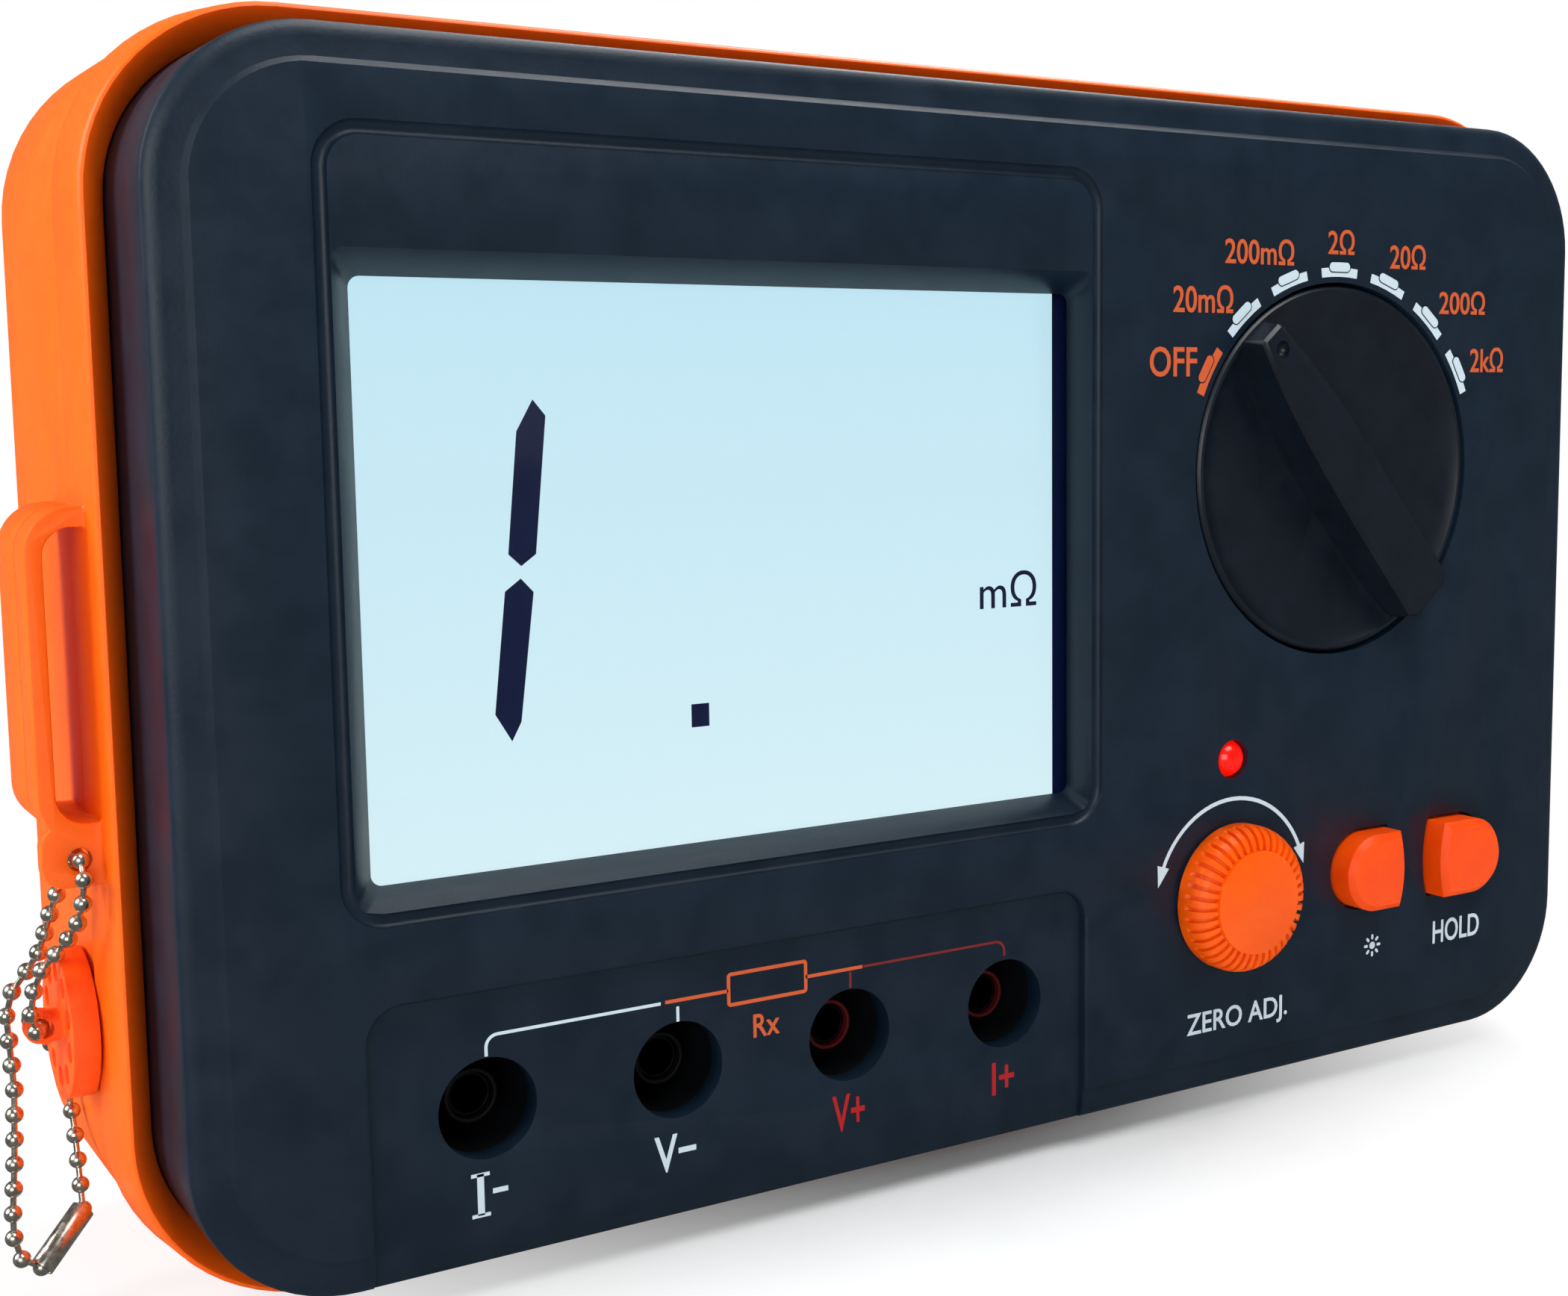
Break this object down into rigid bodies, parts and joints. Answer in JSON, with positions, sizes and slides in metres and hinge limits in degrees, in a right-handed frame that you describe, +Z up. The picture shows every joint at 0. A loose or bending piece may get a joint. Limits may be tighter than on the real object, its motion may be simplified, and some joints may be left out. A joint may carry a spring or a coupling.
{
  "type": "micro ohmmeter",
  "caption": "Portable four-wire micro ohmmeter with a display, range dial, zero knob, push buttons, shrouded test sockets and a capped charging socket.",
  "frame": {"origin": "middle of the base that the meter stands on, half-way through its depth", "axes": "+Z up, +X to the right as seen from the front, the front face looks along -Y"},
  "size_m": [0.2183, 0.0603, 0.1342],
  "materials": {
    "dark_case": "fine moulded grain, dark grey",
    "dark_knob": "moulded dark grey plastic",
    "orange_knob": "satin moulded orange plastic",
    "orange_case": "satin moulded orange plastic",
    "orange_rubber": "soft orange rubber",
    "zinc_steel": "zinc-plated steel",
    "black_plastic": "moulded black plastic",
    "grey_plastic": "moulded grey plastic",
    "red_plastic": "moulded dark red plastic",
    "cell_wrap": "printed shrink wrap, no lettering",
    "clear_lens": "clear moulded acrylic",
    "display_glass": "liquid crystal glass",
    "light_guide": "white light guide",
    "board_green": "solder-masked board",
    "contact_metal": "nickel-plated brass",
    "plunger_plastic": "moulded nylon",
    "pot_can": "enamelled can",
    "lamp_red": "diffused red epoxy",
    "chain_nickel": "nickel-plated ball chain"
  },
  "bodies": {
    "root": {"front_case": "dark_case", "case_band": "orange_case", "rear_case": "orange_case", "case_screws": "zinc_steel", "battery_door": "orange_case", "door_screws": "zinc_steel", "battery_tray": "black_plastic", "battery_cells": "cell_wrap", "window_lens": "clear_lens", "display_glass": "display_glass", "display_light": "light_guide", "display_frame": "grey_plastic", "main_board": "board_green", "board_screws": "zinc_steel", "key_board": "board_green", "key_board_screws": "zinc_steel", "socket_i_minus": "black_plastic", "socket_v_minus": "black_plastic", "socket_v_plus": "red_plastic", "socket_i_plus": "red_plastic", "contact_i_minus": "contact_metal", "contact_v_minus": "contact_metal", "contact_v_plus": "contact_metal", "contact_i_plus": "contact_metal", "indicator_lamp": "lamp_red", "range_switch": "grey_plastic", "zero_pot": "pot_can", "zero_nut": "zinc_steel", "light_switch": "black_plastic", "hold_switch": "black_plastic", "charge_socket": "black_plastic", "charge_nut": "zinc_steel"},
    "dial": {"range_dial": "dark_knob", "range_shaft": "zinc_steel"},
    "zero": {"zero_knob": "orange_knob", "zero_shaft": "zinc_steel"},
    "light_key": {"light_button": "orange_knob", "light_plunger": "plunger_plastic"},
    "hold_key": {"hold_button": "orange_knob", "hold_plunger": "plunger_plastic"},
    "cap": {"dust_cap": "orange_rubber", "ball_chain": "chain_nickel", "chain_coupling": "chain_nickel"}
  },
  "joints": [
    {"name": "range_turn", "type": "hinge", "parent": "root", "child": "dial", "pos_m": [0.0522, -0.027, 0.0842], "axis": [0, -1, 0], "range_deg": [-100, 20]},
    {"name": "zero_turn", "type": "hinge", "parent": "root", "child": "zero", "pos_m": [0.0346, -0.027, 0.0294], "axis": [0, -1, 0], "range_deg": [-140, 140]},
    {"name": "light_press", "type": "slide", "parent": "root", "child": "light_key", "axis": [0, 1, 0], "range_m": [0, 0.0008], "stiffness_N_per_m": 400},
    {"name": "hold_press", "type": "slide", "parent": "root", "child": "hold_key", "axis": [0, 1, 0], "range_m": [0, 0.0008], "stiffness_N_per_m": 400},
    {"name": "cap_pull", "type": "slide", "parent": "root", "child": "cap", "axis": [-1, 0, 0], "range_m": [0, 0.007], "deforming": ["ball_chain"]}
  ]
}
